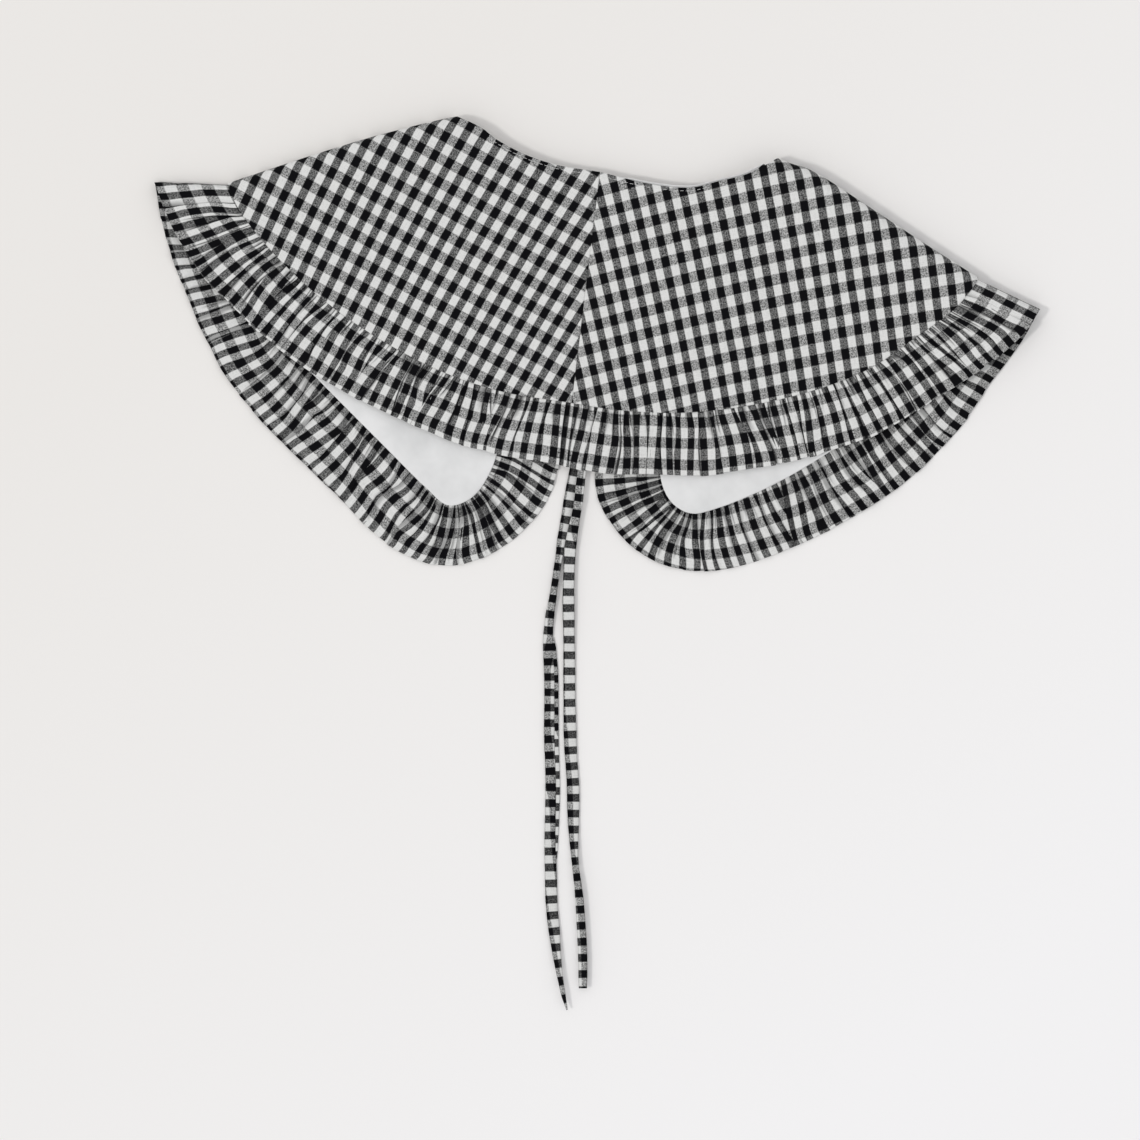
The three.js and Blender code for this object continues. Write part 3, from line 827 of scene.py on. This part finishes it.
def check_coordinates(half, flats):
    """Repeats of the check both ways. The cloth lies a little out of square, twisted about its middle."""
    turn_short, short, bright_short, turn_long, long, bright_long = half.checks
    across = (math.cos(math.radians(turn_short)), math.sin(math.radians(turn_short)))
    along = (math.cos(math.radians(turn_long)), math.sin(math.radians(turn_long)))
    u = flats @ across / short - bright_short - 0.25
    v = flats @ along / long - bright_long - 0.25
    middle, even, skew, twist, shift, cup = half.drape
    out = (half.sign * np.clip(half.sign * flats[..., 0], 0, DRAPE_X) - middle) / 100
    down = (np.clip(flats[..., 1], *DRAPE_Y) - DRAPE_MIDDLE) / 100
    return np.stack([u + even + (skew + twist * out) * down, v + shift + cup * (out / 0.8) ** 2], axis=-1)


def shell_reach(x):
    """A corner of the turned-in cloth stands up at the right end of the neck edge."""
    return 1.3 * math.exp(-(((x - 97.5) / 1.8) ** 2))


def lining_reach(x):
    """The lining shows above the right half's neck edge."""
    return 1.15 * float(smooth((x - 10) / 12)) + 0.5 * math.exp(-(((x - 93) / 6) ** 2)) + 0.1


for half in (LEFT, RIGHT):
    points, flats = folded_grid(half, shell_depth, shell_reach)
    shell = cloth_sheet(half.name + "_shell_cloth", points, check_coordinates(half, flats), GINGHAM, CLOTH)
    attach(shell, "root")
    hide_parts(half.name + "_shell")
    points, flats = folded_grid(half, lining_depth, lining_reach)
    lining = cloth_sheet(half.name + "_lining_cloth", points, flats / CHECK_SHORT, LINING, CLOTH)
    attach(lining, "root")
    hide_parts(half.name + "_lining")


# The ruffles
GATHER = 1.38  # cloth for each millimetre of seam, at least
HEM_EASE = 1.05  # and for each millimetre of hem
CRIMP = 1.1  # the finest gathers take up a tenth of the cloth
TUCK_BEND = 0.8  # cloth that one turn of a tuck takes
TUCK_GAP = (6.5, 19)
TUCK_CLOTH = 4.2  # cloth folded away in an average tuck at the seam
TUCK_MOST = 8.5  # and at most in any
PUCKER_GAP = 6.5
STRIP = 38  # width of the strip past the seam
ACROSS = (-2.4, -1.2, -0.4, 0.3, 1, 1.9, 3, 4.5, 6.5, 9, 12, 15.5, 19, 22.5, 26, 29.5, 33, 35.8, 37.4, STRIP)
FINE = 0.1  # step of the ruler along the cloth, on which the tucks are added up


def spread(values, reach, spacing):
    """Averages each value with its neighbours within about reach."""
    size = max(1, int(round(3 * reach / spacing)))
    weights = np.exp(-0.5 * (np.arange(-size, size + 1) * spacing / reach) ** 2)
    weights /= weights.sum()
    padded = np.pad(values, [(size, size)] + [(0, 0)] * (values.ndim - 1), mode="edge")
    if values.ndim == 1:
        return np.convolve(padded, weights, mode="valid")
    return np.stack([np.convolve(column, weights, mode="valid") for column in padded.T], axis=-1)


def outward(points, sign, reach, spacing):
    """Square to a seam in plan, evened out along it."""
    tangent = unit(np.gradient(points[:, :2], axis=0))
    normal = np.stack([tangent[:, 1], -tangent[:, 0]], axis=-1) * -sign
    return unit(spread(normal, reach, spacing))


def ruffle_guide(half):
    """Seam, hem, upward direction and whether it lies round the fold: rows along the strip, from the centre
    back to the front neck."""
    turn = math.radians(half.tip_turn) * half.sign
    cosine, sine = math.cos(turn), math.sin(turn)
    x, y = half.fold_line
    tip = np.array((x * cosine - y * sine, x * sine + y * cosine))

    def strip(curve, back):
        count = int(curve.length / 2)
        shares = np.linspace(0, 1, count)
        base = curve.at(shares)
        base[:, :2] -= half.drawn_in(shares)
        out = outward(base, half.sign, 9, 2)
        near = smooth(shares * (5 if back else 8))[:, None]
        if back:
            last = smooth((shares - 0.9) / 0.1)[:, None]
            out = out * (1 - last) + np.array((0, -1)) * last
        out = unit(tip * (1 - near) + out * near)
        width = base[:, 2]
        if not back:
            edge = CHANNEL[0] if half.sign < 0 else CHANNEL[1]
            inwards = -half.sign * out[:, 0]
            room = half.sign * (base[:, 0] - edge) / np.maximum(inwards, 1e-3)
            width = np.where(inwards > 0.02, np.minimum(width, room), width)
        reach = half.tip_reach * (1 - near[:, 0]) + width * near[:, 0]
        if back:
            seam_z = STACK + half.hollow(1, shares) - SAG * smooth(shares) + RUFFLE_DEPTH
        else:
            seam_z = 0 * shares + STACK - RUFFLE_DEPTH
        hem_z = HIGH_HEM + half.raised(shares) if back else 0 * shares + LOW_HEM
        seam = np.column_stack([base[:, :2], seam_z])
        hem = np.column_stack([base[:, :2] + out * reach[:, None], hem_z])
        up = np.tile((0, 0, 1 if back else -1), (count, 1)).astype(float)
        return seam, hem, up, np.zeros(count)

    parts = [[rows[::-1] for rows in strip(half.seam, True)]]
    seam_gap = SEAM_HOLLOW + half.spring
    seam_radius = seam_gap / 2 + RUFFLE_DEPTH
    high_hem = HIGH_HEM + half.spring
    hem_radius = (high_hem - LOW_HEM) / 2
    out = np.array((*half.fold_out, 0))
    tip_ray = np.array((*tip, 0)) * half.tip_reach
    base = np.array((*(half.fold_seam - half.drawn_in(0)), 0))
    for angle in np.linspace(math.pi / 2, -math.pi / 2, 11)[1:-1]:
        lift = np.array((0, 0, math.sin(angle))) + out * math.cos(angle)
        seam = base + lift * seam_radius + (0, 0, STACK + seam_gap / 2)
        hem = base + tip_ray + lift * hem_radius + (0, 0, (high_hem + LOW_HEM) / 2)
        parts.append((seam[None], hem[None], lift[None], np.ones(1)))
    parts.append(strip(half.front_seam, False))
    return [np.concatenate(rows) for rows in zip(*parts)]


@dataclass
class Tuck:
    """A fold of the ruffle from the seam towards the hem. at: its place along the cloth. until: how far it
    serves the cloth. lay: which way it lies. seam, hem: its share of the gathers there, or how much cloth a
    pucker takes. lean, bend: how its line runs. fade: how far across the strip a pucker reaches."""

    at: float
    lay: int
    seam: float
    hem: float
    lean: float
    bend: float = 0
    fade: float = 1
    pucker: bool = False
    until: float = 0

    def place(self, down):
        return self.at + self.lean * down + self.bend * math.sin(math.pi * down)

    def takes(self, spare, down):
        """Cloth folded away here, where this much is to spare since the tucks before it."""
        if self.pucker:
            return self.seam * max(0.0, 1 - down / self.fade)
        share = self.seam + (self.hem - self.seam) * float(smooth(down))
        return min(max(spare * share, 0.0), TUCK_MOST)


def lay_tucks(total, bare, spare_at, draw):
    """The tucks along a strip, in order. bare is the stretch round the shoulder fold, which has none."""
    folds = []
    where = draw.uniform(5, 8)
    while where < total - 6:
        gap = draw.uniform(0.6, 1.4) * TUCK_CLOTH / max(spare_at(where), 0.05)
        gap = min(max(gap, TUCK_GAP[0]), TUCK_GAP[1])
        if not bare[0] < where < bare[1]:
            lay = draw.choice((-1, 1))
            at_seam = draw.uniform(0.55, 1.25)
            at_hem = draw.choice((0, 0.3, 0.9, 1.6))
            lean = draw.uniform(-0.26, 0.26) * gap
            folds.append(Tuck(where, lay, at_seam, at_hem, lean, draw.uniform(-0.12, 0.12) * gap))
        where += gap
    puckers = []
    for before, after in zip(folds[:-1], folds[1:]):
        span = after.at - before.at
        before.until = before.at + span / 2
        if span > 30:
            continue
        count = max(1, round(span / PUCKER_GAP))
        for index in range(1, count + 1):
            share = (index + draw.uniform(-0.25, 0.25)) / (count + 1)
            lean = before.lean + (after.lean - before.lean) * share + draw.uniform(-4, 4)
            lay = draw.choice((-1, 1))
            cloth = draw.uniform(0.2, 1.5)
            fade = draw.uniform(0.16, 0.6)
            puckers.append(Tuck(before.at + span * share, lay, cloth, 0, lean, fade=fade, pucker=True))
    folds[-1].until = total
    return sorted(folds + puckers, key=lambda tuck: tuck.at)


def cloth_columns(tucks, total):
    """Places along the strip, close together at the tucks and wider between them."""
    marks = set(np.arange(0, total, 3.6))
    for tuck in tucks:
        reach, step = (1.1, 0.44) if tuck.pucker else (2.8, 0.4)
        marks.update(tuck.at + step_at for step_at in np.arange(-reach, reach + 0.01, step))
    marks = np.array(sorted(mark for mark in marks if 0 <= mark <= total - 0.3))
    keep = np.concatenate([[True], np.diff(marks) > 0.2])
    return np.append(marks[keep], total)


def panel_steps(tucks, draw):
    """The flat panels between tucks lie a little higher or lower, and aslant: rows of a tuck, the distance
    from it, level and tilt."""
    folds = [tuck for tuck in tucks if not tuck.pucker]
    rows = []
    for before, after in zip(folds[:-1], folds[1:]):
        level = draw.uniform(-0.5, 0.5)
        tilt = draw.uniform(-0.04, 0.04)
        half_width = (after.at - before.at) / 2
        rows.append((before, 0.7, level - tilt * half_width, tilt))
        rows.append((after, -0.7, level + tilt * half_width, tilt))
    return rows


def fold_shade(length, rise):
    """How deep each place lies beside a higher fold, from 0 in the open to 1 under its lip."""
    steepest = 0 * rise
    for step in (2, 4, 6, 8, 11, 14, 18, 23, 29, 36, 44, 54):
        for way in (step, -step):
            higher = np.maximum(np.roll(rise, way) - rise, 0)
            beside = np.abs(np.roll(length, way) - length) + 0.12
            steepest = np.maximum(steepest, higher / np.hypot(higher, beside))
    return np.clip((steepest - 0.32) / 0.5, 0, 1)


def turned_cloth(tucks, ruler, spare, down):
    """How steeply the cloth runs along the ruler at this share of the way down, then the tucks' places along
    the seam, and where their middles lie here."""
    angle = np.zeros(len(ruler))
    before = [0.0]
    after = [0.0]
    taken = 0.0
    for tuck in tucks:
        middle = max(tuck.place(down), after[-1] + 1.2)
        before.append(tuck.at)
        after.append(middle)
        depth = tuck.takes(spare[min(int(tuck.until / FINE), len(spare) - 1)] - taken, down) / 2
        if depth < 0.01:
            continue
        taken += 2 * depth
        # A small tuck only rises, and a deep one lies right over
        turned = min(depth / TUCK_BEND, 1)
        peak = math.sqrt(6 * turned) * (1 + 0.2825 * turned)
        flat = max(0.0, depth - TUCK_BEND)
        low = max(0, int((middle - flat / 2 - TUCK_BEND) / FINE))
        high = min(len(ruler), int((middle + flat / 2 + TUCK_BEND) / FINE) + 2)
        away = np.abs(ruler[low:high] - middle)
        angle[low:high] -= tuck.lay * peak * np.clip(1 - (away - flat / 2) / TUCK_BEND, 0, 1)
    return np.clip(angle, -math.pi, math.pi), before, after


def height_above(ruler, angle, distance, calm, seed):
    """How high the folded cloth rises along the ruler."""
    down = min(max(distance / STRIP, 0), 1)
    rise = np.cumsum(np.sin(angle)) * FINE
    rise = rise - spread(rise, 5, FINE)
    rise += smooth(1 - distance / 9) * 0.25 * ripple(ruler, distance * 0.4, 4.2, seed + 5)
    rise += (0.1 + 0.4 * down) * ripple(ruler, distance * 0.5, 26, seed + 9)
    rise *= 0.25 + 0.75 * calm
    most = 0.32 + 1.7 * float(smooth((distance + 0.3) / 3.2))
    return most * np.tanh(rise / most)


def ruffle_strip(half, seed):
    draw = random.Random(seed)
    seam, hem, up, fold = ruffle_guide(half)
    seam_span, hem_span = spans(seam), spans(hem)
    cloth = np.maximum(GATHER * seam_span, HEM_EASE * hem_span)
    cloth = np.maximum(spread(cloth, 4, 1), np.maximum(1.02 * seam_span, 1.02 * hem_span))
    stations = running(cloth)
    centres = (stations[1:] + stations[:-1]) / 2
    total = stations[-1]
    bare = (stations[np.argmax(fold > 0)] - 3, stations[len(fold) - 1 - np.argmax(fold[::-1] > 0)] + 3)
    tucks = lay_tucks(total, bare, lambda at: np.interp(at, centres, 1 - seam_span / cloth), draw)
    marks = cloth_columns(tucks, total)
    panels = panel_steps(tucks, draw)
    ruler = np.arange(0, total + FINE, FINE)
    order = np.arange(len(stations))
    ends = smooth(ruler / 25) * smooth((total - ruler) / 8)
    calm = smooth((ruler - bare[1] - 2) / 8) + smooth((bare[0] - 2 - ruler) / 8)
    rays = unit(hem - seam)
    rows = []
    fabric = []
    painted_shade = []
    for distance in ACROSS:
        share = distance / STRIP
        down = min(max(share, 0), 1)
        line = seam + (hem - seam) * share
        reached = running(spans(seam + (hem - seam) * down))
        spare = ruler - np.interp(ruler, stations, reached)
        angle, before, after = turned_cloth(tucks, ruler, spare, down)
        places = np.interp(marks, before + [total], after + [max(total, after[-1] + 0.3)])
        used = np.cumsum(1 - np.cos(angle)) * FINE
        length = ruler - used * (total - reached[-1]) / used[-1]
        rise = height_above(ruler, angle, distance, calm, seed)
        # Painted shade: darker beside higher folds and under their lips, and a painted shadow in a thin line
        # along the seam, under the edge of the shell or the lining
        deep = np.maximum(fold_shade(length, rise), 0.45 * float(smooth(1 - (distance + 0.4) / 1.3)))
        spots_at = [row[0].place(down) + row[1] for row in panels]
        tilt = np.interp(ruler, spots_at, [row[3] for row in panels])
        sway = 1.2 * down * ripple(ruler, 0 * ruler, 60, seed + 3) - tilt * (distance - 10)
        length = np.clip(length + ends * calm * sway, 0, reached[-1])
        station = np.interp(np.interp(places, ruler, length), reached, order)
        spot = look_up(station, order, line)
        spot += unit(look_up(station, order, up)) * np.interp(places, ruler, rise)[:, None]
        # At the centre back the right strip laps a little over the left one
        spot += np.outer(1 - smooth(places / 7), (-0.5 * half.sign, 0, 0.22 * half.sign))
        level = np.interp(places, spots_at, [row[2] for row in panels])
        level = (0.35 + 0.65 * down) * level + 0.45 * ripple(places, 0 * places, 45, seed + 2)
        behind = np.interp(places, ruler, smooth((ruler - bare[1]) / 10))
        level *= smooth((distance + 2.4) / 4) * (1 - 0.4 * behind)
        spot += look_up(station, order, rays) * level[:, None]
        spot[:, 2] = np.maximum(spot[:, 2], RUFFLE_LOWEST)
        rows.append(spot)
        edge_row = np.interp(places / total, *zip(*half.hem_rows))
        lengthwise = places * CRIMP / CHECK_SHORT + half.first_check
        fabric.append(np.stack([lengthwise, edge_row + (distance - STRIP) / CHECK_LONG], axis=-1))
        # The painted shade is weaker on the front, past the fold
        painted_shade.append(np.interp(places, ruler, deep) * (1 - 0.45 * behind))
    name = half.name + "_ruffle_cloth"
    piece = cloth_sheet(name, np.array(rows), np.array(fabric), GINGHAM, RUFFLE_CLOTH, np.array(painted_shade))
    return piece, total


for half, seed in ((LEFT, 41), (RIGHT, 67)):
    ruffle, strip_length = ruffle_strip(half, seed)
    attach(ruffle, "root")
    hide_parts(half.name + "_ruffle")


# Edge stitching along the back neck
STITCH_INSET = 2.0
STITCH_PITCH = 3.3
STITCH_SIZE = (0.00135, 0.00013, 0.00015)  # metres from the middle of a stitch, along, across and up


def neck_stitches(half, last):
    """A row of stitches beside the neck edge, from the centre back seam out to last."""
    stitches = bmesh.new()
    shares = np.linspace(0, 1, 2000)
    edge = half.neck.at(shares)
    walked = 0.0
    due = 0.0
    for index in [index for index in range(len(shares)) if 2 <= half.sign * edge[index][0] <= last][1:]:
        step = edge[index] - edge[index - 1]
        walked += float(np.linalg.norm(step))
        if walked < due:
            continue
        due = walked + STITCH_PITCH
        across = half.seam.at(shares[index])[:2] - edge[index]
        reach = float(np.linalg.norm(across))
        spot = edge[index] + across / reach * STITCH_INSET
        hollow = half.hollow(STITCH_INSET / reach, shares[index])
        cloth = shell_depth(spot[0], spot[1], STITCH_INSET, "back", 99)
        height = STACK + hollow - SAG * smooth(shares[index]) + cloth + CLOTH / 2 + 0.04
        verts = bmesh.ops.create_uvsphere(stitches, u_segments=8, v_segments=5, radius=1)["verts"]
        turn = Matrix.Rotation(math.atan2(step[1], step[0]) + 0.05, 3, "Z")
        bmesh.ops.scale(stitches, vec=STITCH_SIZE, verts=verts)
        bmesh.ops.rotate(stitches, cent=(0, 0, 0), matrix=turn, verts=verts)
        bmesh.ops.translate(stitches, vec=Vector(place((spot[0], spot[1], height))), verts=verts)
    name = half.name + "_neck_stitches"
    mesh = bpy.data.meshes.new(name)
    for face in stitches.faces:
        face.smooth = True
    stitches.to_mesh(mesh)
    stitches.free()
    mesh.materials.append(THREAD)
    piece = add_object(name, mesh)
    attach(piece, "root")


neck_stitches(LEFT, 66)
neck_stitches(RIGHT, 62)

# Floor, light and background
floor_mesh = bpy.data.meshes.new("floor")
floor_grid = bmesh.new()
bmesh.ops.create_grid(floor_grid, x_segments=1, y_segments=1, size=3)
floor_grid.to_mesh(floor_mesh)
floor_grid.free()
floor = add_object("floor", floor_mesh)
paper, paper_wires, paper_shader = matt_material("pale_surface", 0.9, 0, 0.1)
paper_place = paper_wires.add("ShaderNodeTexCoord").outputs["Object"]
paper_split = paper_wires.add("ShaderNodeSeparateXYZ", Vector=paper_place).outputs
# Painted light: the floor is drawn lighter and cooler towards the lower right, where more light falls
paper_down = paper_wires.math("SUBTRACT", paper_split[0], paper_split[1])
painted_floor_light = paper_wires.math("MULTIPLY_ADD", paper_down, 1.1, 0.3, clamp=True)
paper_wires.feed(
    paper_shader.inputs["Base Color"],
    paper_wires.mix(painted_floor_light, *SURFACE_SHADES),
)
floor_mesh.materials.append(paper)

sun_data = bpy.data.lights.new("window", "SUN")
sun_data.energy = 0.75
sun_data.angle = math.radians(8)
sun_data.color = (1.0, 0.985, 0.96)
sun = add_object("window", sun_data)
sun.rotation_euler = Vector((1.0, 0.42, -1.4)).to_track_quat("-Z", "Y").to_euler()

world = bpy.data.worlds.new("room")
world.use_nodes = True
world.node_tree.nodes["Background"].inputs[0].default_value = (0.985, 0.99, 1.0, 1)
world.node_tree.nodes["Background"].inputs[1].default_value = 0.815
bpy.context.scene.world = world
bpy.context.scene.view_settings.view_transform = "Standard"
